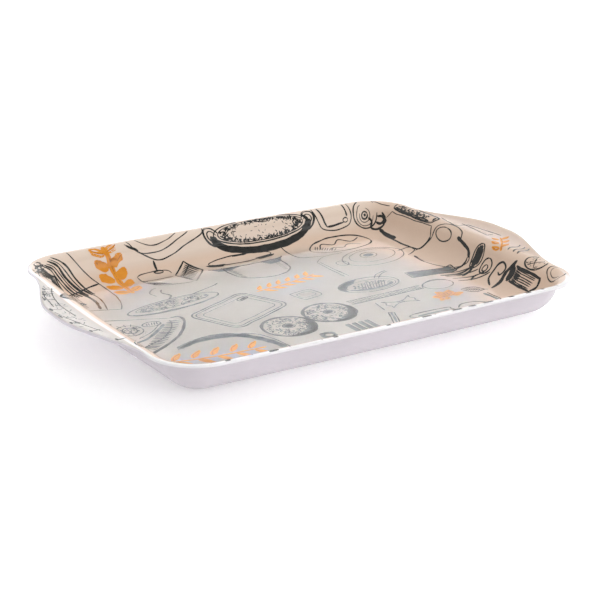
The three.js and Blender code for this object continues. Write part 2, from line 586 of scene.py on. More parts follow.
def bowl(pen):
    pen.oval(0, 8, 22, 5.5)
    pen(1.3).curve((-22, 8), (-19, -3), (-8, -11), (8, -11), (19, -3), (22, 8))
    pen.curve((-7, -11), (-6, -14), (6, -14), (7, -11))
    pen(0.9).ladder(((12, 2), (19, 4)), ((5, -8), (13, -4)), 6)


def cup(pen):
    pen.oval(0, 9, 11, 3.5)
    pen(1.2).curve((-11, 9), (-10, -4), (-5, -10), (5, -10), (10, -4), (11, 9))
    pen.curve((10.5, 6), (17, 7), (17, -1), (9.5, -3))
    pen.oval(0, -11, 15, 3, 150, 390)
    for x in (-3, 3):
        pen(0.8).curve((x, 14), (x + 2, 18), (x - 1, 22), (x + 1, 26))


def lemon(pen, r=12):
    pen(1.3).oval(0, 0, r, r)
    pen(0.8).oval(0, 0, r - 2, r - 2)
    for k in range(8):
        x, y = math.cos(math.pi * k / 4), math.sin(math.pi * k / 4)
        pen(0.8).line((2 * x, 2 * y), ((r - 3) * x, (r - 3) * y))
    pen.specks(0, 0, r - 3, r - 3, 14, inner=0.4, length=1.2, width=0.7)


def tomato(pen, r=11):
    pen(1.2).oval(0, 0, r, r * 1.1)
    pen(1.8).oval(0, 0, r * 0.55, r * 0.62)
    pen.specks(0, 0, r * 0.4, r * 0.45, 12, length=1.4, width=1)
    for a in (60, 85, 110, 130):
        x, y = r * math.cos(math.radians(a)), r * 1.1 * math.sin(math.radians(a))
        pen(1.1).line((x * 0.8, y * 0.8), (x * 1.3, y * 1.3))


def cheese(pen):
    pen(1.2).line((-16, -7), (14, -9), (16, 2), (-16, -7))
    pen(1.2).line((-16, -7), (-15, 2), (10, 13), (16, 2))
    pen.line((-15, 2), (16, 2))
    for x, y, r in ((-4, -4, 2), (6, -4, 2.6), (0, 6, 1.8)):
        pen(0.9).oval(x, y, r, r * 0.8)


def rollingPin(pen):
    pen(1.1).curve((-22, 5), (22, 5), (24, 0), (22, -5), (-22, -5), (-24, 0), closed=True)
    for side in (1, -1):
        pen.curve((24 * side, 1.6), (33 * side, 2.2), (35 * side, 0), (33 * side, -2.2), (24 * side, -1.6))
    pen(0.8).ladder(((-18, -3.6), (16, -3.6)), ((-14, -1.4), (19, -1.4)), 14)


def bowTie(pen):
    pen(1.2).curve((-14, 8), (-4, 2), (4, 2), (14, 8))
    pen(1.2).curve((-14, -8), (-4, -2), (4, -2), (14, -8))
    for side in (1, -1):
        pen.line((14 * side, 8), (12 * side, 4), (14.5 * side, 0), (12 * side, -4), (14 * side, -8))
    pen(1).ladder(((-3, 2), (3, 2)), ((-3, -2), (3, -2)), 3)


def drawBackWall():
    # whisk-like curls in the corner, with a long jar beside them
    pen = Pen(width=1)
    for k, width in enumerate((1.6, 1.9, 1.2, 2.2, 1.1, 1.6)):
        wire = pen(width, "shadow" if width > 2 else None)
        wire.curve((-190 + 4.4 * k, 144 + 3.4 * k), (-175 + 4 * k, 145 + 1.6 * k),
                   (-164 + 3.6 * k, 132), (-157 + 3 * k, 112))
    pen.specks(-192, 130, 9, 22, 170, length=3.6, width=1.6)
    pen.specks(-172, 92, 12, 7, 40, length=4, width=1.5, kind="slate")
    for k in range(6):
        pen(1.4 + 0.5 * (k % 2)).curve((-206 + 4 * k, 118 + 3 * k), (-198 + 4 * k, 132 + k),
                                       (-186 + 3 * k, 140), (-176 + 2 * k, 134 - 2 * k))
    pen.curve((-148, 166), (-145, 154), (-134, 136), (-128, 122), (-128, 100), (-132, 78), (-138, 64))
    pen.curve((-138, 64), (-150, 70), (-168, 76))
    pen(1.6).curve((-175, 112), (-165, 118), (-152, 122), (-140, 126), (-130, 128))
    pen(1.2).curve((-146, 124), (-143, 100), (-148, 70))
    pen(2.2, "shadow").curve((-152, 122), (-149, 100), (-153, 74))
    pen(0.9).ladder(((-158, 120), (-160, 84)), ((-168, 112), (-168, 80)), 12)
    # nested dishes
    pen.curve((-90, 168), (-86, 156), (-78, 150), (-60, 150), (-40, 158), (-26, 166))
    pen(1.2).curve((-93, 162), (-82, 152), (-66, 142), (-50, 144), (-30, 153), (-14, 160), (-11, 168))
    pen.curve((-82, 168), (-76, 160), (-66, 156), (-50, 160), (-38, 167))
    for k in range(3):
        pen(2).line((-92 + 2 * k, 160 - k), (-86 + 2 * k, 155 - k))
    # a shallow cup with a stalk, and a cut cake
    pen(1.8).line((-70, 142), (-70, 131))
    pen(1.6).oval(-69, 129, 4.5, 1.6)
    pen.curve((-92, 127), (-84, 130), (-62, 130), (-58, 125))
    pen.line((-92, 127), (-91, 120), (-86, 118))
    pen(0.8).line((-88, 119), (-60, 119))
    pen(1.4).curve((-91, 119), (-84, 106), (-72, 100), (-58, 98), (-50, 98))
    for k in range(6):
        pen(1.3).line((-90 + 1.8 * k, 117 - k), (-82 + 2.4 * k, 105 - 0.6 * k))
    pen(1.4).line((-57, 120), (-41, 136), (-28, 121), (-47, 98), (-57, 120))
    pen(1.2).line((-52, 115), (-38, 131))
    pen(1.5).ladder(((-54, 117), (-40, 134)), ((-50, 101), (-31, 123)), 9)


def drawPan():
    pen = Pen(47, 152, width=1.4)
    for k in range(6):
        pen(2, "shadow").oval(0, 1.6 - 0.2 * k, 54 - 0.9 * k, 22.6 - 1.3 * k, 178, 362)
    for k in range(3):
        pen(1.5).oval(1, 2, 51.5 - k, 16.5 - k, 330, 385)
    pen(1.3).oval(0, 2.5, 50.5, 13.8, -10, 352)
    pen(1).oval(0, 2.2, 46.5, 11.6)
    pen.specks(0, 2.2, 45, 11, 190, inner=0.82, length=3.8, width=1.7)
    pen.specks(0, 2.2, 43, 10.4, 110, inner=0.62, length=2.6, width=1)
    pen.specks(8, 0, 26, 6.4, 16, length=1.8, width=0.9)
    pen(2.2).curve((-14, 9.5), (-4, 11), (6, 9), (14, 11))
    pen(1.6).curve((-3, 11), (0, 14), (4, 15))
    for side in (-1, 1):
        pen(2).curve((46 * side, 5), (51 * side, 12), (58 * side, 11), (60 * side, 4), (56 * side, -4),
                     (50 * side, -8))
        pen(1.2).curve((48 * side, 3), (52 * side, 8), (56 * side, 6.5), (56.5 * side, 2),
                       (53 * side, -3))


def drawRightBackCorner():
    pen = Pen(width=1.1)
    # a small tray standing on its side
    pen.curve((107, 168), (110, 150), (114, 142), (126, 139), (141, 140), (147, 146), (148, 156),
              (147, 168))
    pen(1.7).line((113, 168), (117, 148), (119, 143.5))
    pen(2).line((119, 143.5), (139, 144.5))
    pen(1.7).line((143, 150), (142, 168))
    pen.oval(141, 146.5, 2.6, 2.4)
    # a cutter wheel, its arm and its long flat grip
    pen(1.5).oval(168, 149, 17.5, 16, 20, 330)
    pen(1.8).oval(166, 147, 4.4, 3.6)
    pen.patch(166, 147, 2.4, 2.0, width=1.6)
    pen(0.8).oval(166, 147, 8, 7, 150, 420)
    pen(0.8).oval(166.5, 147.5, 12.5, 11.4, 100, 330)
    pen(2.2).curve((170, 143), (172, 138), (168, 132), (173, 126), (182, 124), (186, 132), (181, 138))
    pen(2.2, "shadow").curve((176, 134), (180, 128), (187, 128), (188, 136))
    pen.patch(184, 126, 4, 3, width=1.8)
    pen(1.6).line((174, 124), (173, 100), (172, 66))
    pen(3, "shadow").line((175, 124), (175, 96))
    pen(2.2).curve((172, 66), (174, 58), (182, 55), (190, 54))
    pen(1.4).line((190, 54), (200, 58))
    pen(0.9).line((188, 126), (198, 122), (200, 58))
    pen.curve((183, 160), (190, 150), (196, 140), (200, 132))
    # a grater seen from its edge
    pen(2).curve((202, 124), (202, 96), (202, 66), (206, 59), (213, 61), (213, 90), (211, 122),
                 (202, 124))
    pen(3, "shadow").line((203, 122), (203, 66))
    pen(2.6, "shadow").line((205, 61.5), (211, 62.5))
    pen.specks(208, 92, 3.4, 28, 90, length=3, width=1.9)
    # an oven cloth with a ring
    pen.curve((163, 52), (160, 34), (164, 14), (170, 0), (180, -8), (190, -3), (196, 12))
    pen.curve((190, 52), (203, 50), (210, 36), (206, 18), (196, 12))
    pen(1.2).oval(197, 38, 7, 11)
    pen(1.2).curve((170, 60), (178, 56), (190, 52))
    pen(2.8, "shadow").curve((185, -6), (192, -1), (196, 11), (199, 18))
    pen(2.2).curve((163, 52), (161, 42), (160, 34))
    for k in range(4):
        pen(1.6).line((168 + 3 * k, -4 - k), (176 + 3 * k, -7 + k))


def drawRightWall():
    pen = Pen(width=1.2)
    # a ladle, a ring, a curled strip and a small pot
    pen.patch(190, -17, 12, 5.4, width=2.2)
    pen(2.6).curve((164, -20), (172, -20), (180, -17))
    pen(2.2, "shadow").curve((148, -8), (165, -14), (180, -17))
    pen.curve((150, -13), (166, -18), (180, -19))
    pen(1.4).oval(190, -17, 13, 6.4)
    pen(1.6).oval(184, -33, 8, 6.6)
    pen.oval(182, -33, 3.6, 3)
    pen(2).curve((164, -34), (170, -30), (175, -33))
    pen(1.8).curve((168, -56), (176, -46), (188, -46), (194, -52), (190, -58), (182, -55), (184, -51))
    pen(3, "shadow").curve((166, -62), (176, -62), (186, -60), (196, -66), (201, -68))
    pen.patch(188, -67, 9, 4, width=2.2)
    pen(2.2).line((181, -70), (179, -99))
    pen(2.4, "shadow").line((196, -70), (194, -104))
    pen(1).ladder(((183, -72), (194, -72)), ((181, -96), (192, -99)), 5)
    pen(1.3).ladder(((182, -72), (195, -72)), ((181, -79), (194, -80)), 6)
    pen(2).curve((179, -99), (186, -104), (195, -104))
    pen(1).curve((216, 60), (211, 36), (213, 31))
    pen(1).line((213, 31), (221, 27), (225, -16))
    pen(0.9).line((219, 34), (216, -6), (222, -8))
    pen.curve((180, -100), (184, -104), (192, -105))
    # a cookie, a biscuit, some wavy strokes and folds in the corner
    cookie = Pen(207, -88, width=1.1)
    cookie(1.6).oval(0, 0, 9, 12)
    cookie(0.9).line((-6, 6), (5, -8))
    cookie(0.9).line((-7, -3), (6, 5))
    cookie.specks(0, 0, 7, 10, 26, length=2.6)
    biscuit = Pen(203, -122, -20, width=1.1)
    biscuit.oval(0, 0, 9, 17)
    biscuit(0.8).oval(1, 0, 6, 13, 60, 260)
    for y in (-48, -55, -61):
        pen(1.6).curve((207, y), (212, y + 2), (218, y - 1), (222, y + 1))
    for x, y, bend in ((158, 2, 4), (160, -6, 5), (161, -14, 6), (162, -24, 6), (163, -32, 5)):
        pen(1.5).curve((x - 10, y + 3), (x, y), (x + 9, y - bend), (x + 18, y - 2 * bend))


def drawTop():
    pen = Pen(width=1.1)
    # stock pot with its lid
    pen(1.2).oval(15, 127, 34, 5.4)
    pen.patch(16, 131.5, 8, 1.8, width=1.8)
    for k in range(7):
        pen(1.4).oval(15, 126, 37 - k, 6 - 0.5 * k, 182, 235)
        pen(1.2).oval(15, 126, 37 - k, 6 - 0.5 * k, 300, 350)
    pen(1.6).oval(16, 118, 40, 4.5, 170, 370)
    pen(1.5).curve((-11, 117), (-11, 96), (-6, 82), (8, 74), (24, 72), (38, 77), (47, 90), (49, 116))
    pen(1.3).ladder(((-9, 112), (-7, 84)), ((-4, 112), (-2, 82)), 14)
    pen.ladder(((42, 84), (46, 112)), ((38, 84), (41, 112)), 9)
    for k in range(5):
        pen(1.8, "slate").oval(16, 118 - 1.6 * k, 39 - k, 4.5, 190, 260 - 6 * k)
        pen(1.6, "slate").oval(16, 117 - 2 * k, 38 - k, 5, 290 + 3 * k, 350)
    # steam and a dish of food
    pen(1.2).curve((-98, 78), (-100, 88), (-94, 96), (-88, 98))
    pen(1.6).curve((-92, 66), (-86, 74), (-90, 84), (-86, 92))
    pen(1.2).curve((-70, 66), (-56, 72), (-40, 78), (-34, 82))
    dish = Pen(-93, 53, 7, width=1.2)
    dish(1.5).oval(0, 0, 46, 13)
    dish(0.9).oval(0, 2, 37, 8.4)
    dish(1.6).oval(-2, -1, 43, 13, 190, 300)
    dish.specks(0, 2, 34, 7, 150, length=3.2, width=1.2)
    dish.specks(0, 1, 36, 8, 60, inner=0.5, length=3.6, width=1.6, kind="slate")
    dish(2.2, "slate").oval(0, -1.5, 43, 11.4, 185, 330)
    # chopping board
    board = Pen(-52, 9, 24, width=1.1)
    for grow, corner, width in ((0, 9, 1.5), (-3, 7, 1.1), (-8, 5, 0.9)):
        roundedBox(board, 37 + grow, 27 + grow, corner, width)
    board(1.4).curve((20, 18), (30, 18), (31, 15), (29, 13), (20, 13), (18, 15), closed=True)
    board.patch(24.5, 15.5, 5, 1.6, width=1.4)
    # a slice with a ridged crust and toppings
    pen.line((-172, 49), (-112, 23))
    pen(2.2).curve((-112, 23), (-103, 22), (-105, 8), (-120, -14), (-142, -32), (-162, -44))
    pen(1.6).curve((-106, 6), (-121, -16), (-143, -34), (-161, -45))
    pen(1.3).curve((-114, 19), (-118, 6), (-134, -14), (-152, -24), (-168, -32))
    for k in range(19):
        t = k / 18
        x, y = -112 - 46 * t, 14 - 48 * t - 9 * t * (1 - t)
        pen(2.1 if k % 3 else 1.4).curve((x - 4.5, y + 3.5), (x + 1, y + 1), (x + 4.5, y - 3.5))
    tomato(Pen(-153, 13, width=1.6))
    Pen(-153, 13).specks(0, 0, 9, 10, 40, length=2.6, width=1.4)
    pen(1.3).oval(-131, 18, 8, 5.4)
    pen(1.2).ladder(((-136, 15), (-127, 15)), ((-134, 21), (-125, 21)), 4)
    pen(2.4, "slate").curve((-122, 12), (-136, -2), (-150, -12), (-164, -16))
    pen(1).curve((-126, 14), (-140, 0), (-154, -8))
    pen.specks(-146, -4, 16, 10, 22, length=2)
    # right-hand dishes
    side = Pen(79, 6, width=1.2)
    side(1.4).oval(0, 0, 30, 18)
    side(0.9).oval(1, -2, 25, 13)
    for k in range(7):
        side(1.7, "slate").oval(0, 0, 29 - k, 17 - k, 95 + 3 * k, 205 - 5 * k)
    side(1).ladder(((-12, -10), (10, -12)), ((-4, 6), (18, 4)), 8)
    side(2.6, "slate").oval(0, -1, 24, 11, 200, 340)
    side.specks(2, -2, 20, 9, 60, length=3.4, width=1.3, kind="slate")
    side(1.3).curve((14, 12), (22, 20), (36, 25))
    side(0.9).curve((17, 10), (26, 18), (37, 23))
    square = Pen(18, 13, 12, width=1.3)
    square.curve((-11, -8), (-11, 8), (-8, 10), (10, 9), (12, 6), (10, -9), (-8, -10), closed=True)
    square(0.9).curve((-7, -5), (-7, 5), (6, 5), (7, -5), closed=True)
    pen(1).line((74, 84), (74, 36))
    pen(1).line((77, 84), (78, 36))
    pen(1).curve((74, 84), (90, 96), (112, 98))
    plate = Pen(130, 72, 10, width=1)
    plate.oval(0, 0, 34, 23)
    plate(0.8).oval(2, 3, 26, 16)
    plate.oval(0, 6, 9, 7)
    plate.patch(0, 6, 6, 4.6, width=1.8, kind="slate")
    plate.oval(-36, 4, 6, 7)
    pen(1.2).curve((160, 58), (172, 62), (170, 72), (160, 74))
    platter = Pen(123, 117, width=1.2)
    platter(1.4).oval(0, 0, 35, 15)
    platter.curve((-24, -2), (-18, 8), (-6, 4), (2, 10), (14, 4), (24, 8))
    platter.curve((-16, -9), (-10, -2), (0, -6), (8, 0), (20, -6))
    platter(1).ladder(((-30, 0), (-14, -10)), ((-26, 6), (-8, -4)), 8)
    pen(1.2).curve((62, 133), (66, 118), (70, 104), (92, 98))
    block = Pen(147, 4, -9, width=1.2)
    block(2.2, "slate").ladder(((-22, 6.6), (-22, -6.6)), ((22, 6), (22, -6)), 7)
    block.line((-23, 8), (23, 7), (23, -7), (-23, -7.6), closed=True)


def drawLowerFloor():
    pen = Pen(width=1.1)
    donut(Pen(10, -37, width=1.1))
    donut(Pen(-37, -48, width=1.1))
    # a pan's dark edge
    for k, width in enumerate((5.0, 4.4, 2.6)):
        pen(width, "slate").curve((-138 + 3 * k, -45 + k), (-122, -37 - k), (-100, -36 - 2 * k),
                                  (-84, -42 - 2 * k), (-74, -56 - k), (-68, -70), (-64 - k, -86))
    pen(1.3).curve((-84, -40), (-72, -46), (-64, -62), (-60, -88))
    pen(1.2).curve((-140, -47), (-122, -35), (-100, -32), (-84, -38))
    # a nut, four forks' tines and a crossed pair of sticks
    nut = Pen(-20, -83)
    nut(3.2, "slate").oval(0, 0, 6, 5.6)
    nut(1.8).oval(0.6, 0.4, 4.2, 4.0)
    nut(2.4).line((-6, 5.4), (4, 6.4))
    for x in (6, 12.5, 19, 25.5):
        pen(3.6, "slate").line((x, -69), (x + 0.4, -90))
        pen(1).line((x + 2.2, -69), (x + 2.6, -90))
    pen(1.2).line((41, -90), (53, -64), (58, -66), (48, -88))
    pen(1.8, "slate").line((45, -88), (55, -66))
    bar = Pen(85, -84, width=1.3)
    bar.curve((-18, -4), (-19, 4), (18, 4), (20, 0), (18, -4), closed=True)
    bar(2.2, "slate").line((-16, -1), (17, -1))
    pen.ladder(((38, -23), (112, -22)), ((40, -30), (114, -29)), 26)
    pen(1.3).line((37, -22), (116, -21))
    pen(1.6).line((38, -31), (114, -29))
    pen(1.2).oval(132, -27, 15, 11)
    pen(1).curve((114, -30), (120, -20), (134, -14), (146, -20))
    bowTie(Pen(78, -47, 6, 1.1, width=1.3))
    pen(1.4).line((57, -38), (54, -58))
    leaf(Pen(160, -60, 60, 1, 1.2), 6, 22)
    pen(2.6, "slate").line((153, -68), (155, -92))
    pen(1.2).line((157, -68), (158, -92))
    pen(1.3).curve((112, -86), (120, -80), (134, -82), (142, -88))


def drawOrangeSketches():
    sprig(-111, 97, 2, 1.0, 5, width=7, step=13.5, long=15, lean=56)
    sprig(-16, 42, -78, 1.15, 6, width=2.6, step=10, long=11)
    sprig(-160, -68, -97, 1.2, 5, width=3.4, step=13.5, long=15, lean=54)
    for turn in (-60, -10, 40, 90):
        sprig(123, -58, turn, 0.62, 2, width=4, step=9, long=12)
    sprig(203, -42, -38, 0.9, 3, width=3.4, step=10, long=11)


frontEdge = -168  # where the flat sheet ends, in front and at the left
leftEdge = -239.0


def drawFrontWall():
    for x, y, turn, draw, size in (
            (-140, -128, 0, mushroom, 1.1), (-104, -122, 75, spoon, 0.95), (-60, -130, 0, bowl, 1.0),
            (-16, -126, 12, lemon, 1.0), (22, -130, 0, cup, 0.95), (66, -124, 80, whisk, 0.95),
            (122, -130, -8, cheese, 1.1), (158, -124, 30, spoon, 0.8), (-180, -108, 40, whisk, 0.8)):
        draw(Pen(x, y, turn, size, 1.2))
    pen = Pen(width=1.6)
    for x in range(-165, 170, 33):
        long = hand.uniform(5, 12)
        start, stop = x + hand.uniform(-4, 4), x + hand.uniform(-5, 5)
        pen(hand.uniform(1, 2.4)).line((start, frontEdge), (stop, frontEdge + long))
    # black bars that run over the crest
    for x, long in ((-150, 4), (-112, 8), (-58, 4), (-10, 4), (26, 9), (56, 10), (72, 6), (88, 10),
                    (112, 5), (130, 6), (146, 3)):
        inset = 0.4
        while roomOnSheet(x, frontEdge - 0.6 + inset) < 1.45:
            inset += 0.1
        for across, width in ((0, 1.0), (0.8, 1.4), (1.7, 1.8), (2.6, 2.4)):
            y = frontEdge - 0.6 + inset + across
            pen(width, "shadow").line((x - long / 2, y), (x + long / 2, y))
    rollingPin(Pen(96, -148, 4, 0.8, 1.2))
    leaf(Pen(-30, -150, 70, 1.0, 1.2))
    sprig(-172, -152, -88, 0.6, 5, width=3)
    sprig(-14, -158, -88, 0.6, 5, width=3)


def drawLeftWall():
    for x, y, turn, draw, size in (
            (-182, 84, 90, bowl, 0.9), (-184, 38, 80, whisk, 0.9), (-180, -6, 100, mushroom, 1.0),
            (-184, -52, 90, cup, 0.9), (-200, -84, 20, lemon, 0.8)):
        draw(Pen(x, y, turn, size, 1.2))
    pen = Pen(width=1.2)
    pen.curve((-214, 92), (-221, 70), (-227, 44), (-229, 20))
    pen(0.9).curve((-218, 84), (-225, 62), (-231, 36))
    pen(1).curve((-213, 66), (-220, 44), (-223, 18), (-222, -6))
    pen(0.9).curve((-235, 6), (-228, -20), (-219, -48))
    pen.specks(-222, 66, 7, 20, 60, length=3.4, width=1, kind="slate")
    pen.specks(-226, 4, 8, 40, 40, length=3.6, width=0.9, kind="slate")
    for k in range(5):
        pen(2.2, "slate").line((-216 - 1.6 * k, 78 - 6 * k), (-224 - 1.2 * k, 72 - 6 * k))
    for y in (66, 52, 40, 12, -6, -24, -46, -70):
        x = leftEdge
        while roomOnSheet(x, y) < 1.6:
            x += 0.2
        pen(2.2, "shadow").line((x + 0.6, y - 3.5), (x + 1.4, y + 3.5))
        pen(1.1).line((x, y), (x + 10, y + hand.uniform(-4, 4)))
    pen(1.8).curve((-204, 128), (-196, 140), (-186, 148))
    pen.curve((-210, 100), (-204, 120), (-194, 134))
    pen.specks(-205, 112, 5, 14, 40, length=2.6, width=1.2)


for draw in (drawBackWall, drawPan, drawRightBackCorner, drawRightWall, drawTop, drawLowerFloor,
             drawOrangeSketches, drawFrontWall, drawLeftWall):
    draw()
print("print drawn,", sum(len(strokes) for strokes in sketches.values()), "strokes")


brushSizes = {"Wobble scale": brush["wobbleScale"], "Unevenness": brush["unevenness"],
              **{name.title(): brush[name] * mm for name in ("spacing", "wobble", "taper", "keel")}}
strokeInputs = {"Strokes": "object", "Sheet": "object", "Sides": "whole", "Material": "material",
                **dict.fromkeys([*brushSizes, "Lift", "Turn", "Seed"], "size")}


# Each stroke is a flat ribbon with a keel sunk into the sheet, wobbled by hand and laid over
# the sheet's surface, so that it follows every curve of the tray.
def strokeTree():
    graph, given = newGeometryTree("layStrokes", strokeInputs)
    even = graph.node("GeometryNodeResampleCurve", {"mode": "LENGTH"}, {
        "Curve": graph.geometryOf(given["Strokes"]), "Length": given["Spacing"]})
    upright = graph.node("GeometryNodeSetCurveNormal", {"mode": "Z_UP"}, {"Curve": even})
    place = graph.node("GeometryNodeInputPosition")
    seed = graph.vector(given["Seed"], given["Seed"] * 2, 0)
    grain = graph.vectors("ADD", graph.scaled(place, given["Wobble scale"]), seed)
    # the noise lies round 0.5, so it is centred and widened to about 1 either way
    noise = graph.node("ShaderNodeTexNoise", None, {"Vector": grain, "Scale": 1, "Detail": 1}, "Color")
    shift = graph.vectors("MULTIPLY", graph.vectors("SUBTRACT", noise, (0.5, 0.5, 0.5)), (4, 4, 0))
    wobbled = graph.node("GeometryNodeSetPosition", None,
                         {"Geometry": upright, "Offset": graph.scaled(shift, given["Wobble"])})

    pressure = graph.node("ShaderNodeTexNoise", None, {"Vector": grain, "Scale": 2.6, "Detail": 1})
    radius = graph.node("GeometryNodeInputRadius")
    along = graph.node("GeometryNodeSplineParameter", output="Length")
    whole = graph.node("GeometryNodeSplineLength")
    ends = (along.least(whole - along) / given["Taper"] * 0.5 + 0.5).least(1)
    breadth = radius * ends * (1 + (pressure - 0.5) * given["Unevenness"] * 2)

    circle = graph.node("GeometryNodeCurvePrimitiveCircle", None,
                        {"Resolution": given["Sides"], "Radius": 1})
    turned = graph.node("GeometryNodeTransform", None,
                        {"Geometry": circle, "Rotation": graph.vector(0, 0, given["Turn"])})
    # the profile's level is 1 on its flat top and 0 on its keel
    up = graph.parts(place)[1]
    profile = graph.mark(turned, "level", up.maths("GREATER_THAN", up, -0.01), "FLOAT")
    ribbon = graph.node("GeometryNodeCurveToMesh", None, {
        "Curve": wobbled, "Profile Curve": profile, "Scale": breadth, "Fill Caps": True})

    sheet = graph.mark(graph.geometryOf(given["Sheet"]), "up", graph.node("GeometryNodeInputNormal"))
    spot = graph.flatSpot(*graph.parts(place)[:2])

    # what the curved sheet says under this place on the flat one
    def onSheet(value):
        return graph.node("GeometryNodeSampleUVSurface", {"data_type": "FLOAT_VECTOR"}, {
            "Mesh": sheet, "Value": value, "UV Map": graph.marked("flat"), "Sample UV": spot})

    surface, upward = onSheet(place), onSheet(graph.marked("up"))
    height = graph.marked("level", "FLOAT") * (given["Lift"] + given["Keel"]) - given["Keel"]
    laid = graph.node("GeometryNodeSetPosition", None, {
        "Geometry": graph.mark(ribbon, "up", upward),
        "Position": graph.vectors("ADD", surface, graph.scaled(upward, height))})
    return endGeometryTree(graph, laid, given["Material"])


def strokeObject(name, strokes):
    curve = bpy.data.curves.new(name, "CURVE")
    curve.dimensions = "3D"
    for points, half in strokes:
        spline = curve.splines.new("POLY")
        spline.points.add(len(points) - 1)
        for point, (x, y) in zip(spline.points, points):
            point.co = (x * mm, y * mm, 0, 1)
            point.radius = half * mm
    return linkObject(name, curve)


def layStrokes(name, kind, sheet, material, wide, seed, lift):
    strokes = strokeObject(name + "Strokes", sketches[kind])
    grown = growFromTree(name, strokeShape, {
        "Strokes": strokes, "Sheet": sheet, "Material": material, "Lift": lift * mm, "Seed": float(seed),
        "Sides": 6 if wide else 3, "Turn": 0.0 if wide else math.pi / 6, **brushSizes})
    bpy.data.objects.remove(strokes)
    mesh = grown.data
    up = [Vector(value.vector) for value in mesh.attributes["up"].data]
    mesh.normals_split_custom_set_from_vertices(up)
    return grown


strokeShape = strokeTree()


def newMaterial(name, settings):
    material = bpy.data.materials.new(name)
    material.use_nodes = True
    material.node_tree.nodes.clear()
    graph = Graph(material.node_tree)
    shader = graph.node("ShaderNodeBsdfPrincipled", None, settings)
    end = graph.tree.nodes.new("ShaderNodeOutputMaterial")
    graph.tree.links.new(shader.socket, end.inputs[0])
    return material, graph, shader.socket.node


def grainAt(graph, scale, detail=4, roughness=0.55):
    place = graph.node("ShaderNodeTexCoord", None, None, "Object")
    return graph.node("ShaderNodeTexNoise", None,
                      {"Vector": place, "Scale": scale, "Detail": detail, "Roughness": roughness})


def rampOf(graph, value, stops):
    return graph.node("ShaderNodeValToRGB", {"stops": stops}, {0: value})


def addBump(graph, shader, height, strength, distance):
    graph.feed(shader.inputs["Normal"], graph.node("ShaderNodeBump", None, {
        "Strength": strength, "Distance": distance, "Height": height}, "Normal"))


# The colours and gloss of each finish, and the sizes of its grain.
# crest is a painted highlight on the front lip and shade a painted shade just under it; light and deep are
# the melamine's own tones
melamine = dict(light=(0.725, 0.67, 0.72), deep=(0.675, 0.625, 0.67), crest=(0.90, 0.885, 0.90),
                shade=(0.56, 0.53, 0.56), roughness=0.14, ior=1.6, cloud=26, fleck=900)
# light and deep are the paper's tones on the walls; the floor's pale pair differs from them only as the
# floor is lit, and the paler back wall, darker right handle, greyer left handle and the left of the white
# rim band are painted light and shade
paper = dict(light=(0.81, 0.62, 0.49), deep=(0.73, 0.545, 0.42), paleLight=(0.385, 0.35, 0.30),
             paleDeep=(0.325, 0.295, 0.25), backPaintedLight=(0.84, 0.70, 0.59), flangeReflection=(0.60, 0.55, 0.505),
             margin=(0.90, 0.885, 0.88), flankShade=(0.56, 0.435, 0.345), middle=(0.165, 0.122), shift=0.011,
             cloud=14, fibre=620, roughness=0.16, ior=1.38, coat=0.38, coatIor=1.6, coatRoughness=0.14)
# Where each tone sets in and where it is full, in metres except for the middle's edge.
bands = dict(front=(-0.10, -0.12), left=(-0.185, -0.20), right=(0.20, 0.186), lipFoot=(0.0285, 0.0298),
             lipHead=(0.0303, 0.0309), crest=(0.0309, 0.0318), marginHead=(0.03295, 0.03298),
             flangeReflection=(0.03296, 0.033), backPaintedLight=(0.115, 0.13), backRise=(0.009, 0.017), backEnd=(0.19, 0.16),
             flankShade=(0.194, 0.206), flankRise=(0.026, 0.031), middleEdge=(0.6, 1.7))
# where the white band along the rim starts; at the left that band is a painted highlight
margin = dict(foot=0.0325, higherAtLeft=0.00022, blend=0.0002)
inks = {
    "dark_ink": dict(thin=(0.032, 0.031, 0.027), full=(0.008, 0.009, 0.008)),
    "slate_ink": dict(thin=(0.20, 0.21, 0.20), full=(0.075, 0.088, 0.085)),
    "orange_ink": dict(thin=(0.83, 0.33, 0.022), full=(0.72, 0.25, 0.007)),
    "amber_ink": dict(thin=(0.62, 0.21, 0.02), full=(0.45, 0.13, 0.01)),
}
inkRoughness = 0.14


def inBand(graph, value, name):
    return graph.step(value, *bands[name])


def whiteMelamine():
    material, graph, shader = newMaterial("white_melamine", {"IOR": melamine["ior"]})
    cloud = grainAt(graph, melamine["cloud"], detail=3)
    fleck = grainAt(graph, melamine["fleck"], detail=2)
    tone = cloud * 0.85 + fleck * 0.15
    plain = rampOf(graph, tone, [(0.3, melamine["deep"]), (0.7, melamine["light"])])
    x, y, z = graph.place()
    front = inBand(graph, y, "front") * inBand(graph, x, "right")
    # painted shade: a darker band on the outer wall just under the front lip, where the lip shades it
    under = inBand(graph, z, "lipFoot") * (1 - inBand(graph, z, "lipHead")) * front
    shaded = graph.blendColours(under, plain, melamine["shade"])
    # painted highlight: the upper part of the front lip is made whiter
    lit = graph.blendColours(inBand(graph, z, "crest") * front, shaded, melamine["crest"])
    graph.feed(shader.inputs["Base Color"], lit)
    graph.feed(shader.inputs["Roughness"], grainAt(graph, 70) * 0.10 + melamine["roughness"] - 0.05)
    addBump(graph, shader, grainAt(graph, 160, detail=2) * 0.8 + fleck * 0.2, 0.10, 0.0006)
    return material


# A finish under the clear glaze, which shines over the middle of the floor. The edge it
# returns is 0 there, and 1 at the floor's edges and up the walls.
def newGlazedMaterial(name):
    material, graph, shader = newMaterial(name, {
        "IOR": paper["ior"], "Coat Roughness": paper["coatRoughness"], "Coat IOR": paper["coatIor"]})
    cloud = grainAt(graph, paper["cloud"], detail=5, roughness=0.6)
    x, y = graph.place()[:2]
    halfX, halfY = paper["middle"]
    away = ((x + paper["shift"]) / halfX) ** 4 + (y / halfY) ** 4 + cloud * 0.5
    edge = inBand(graph, away, "middleEdge")
    graph.feed(shader.inputs["Coat Weight"], (1 - edge) * paper["coat"])
    return material, graph, shader, cloud, edge


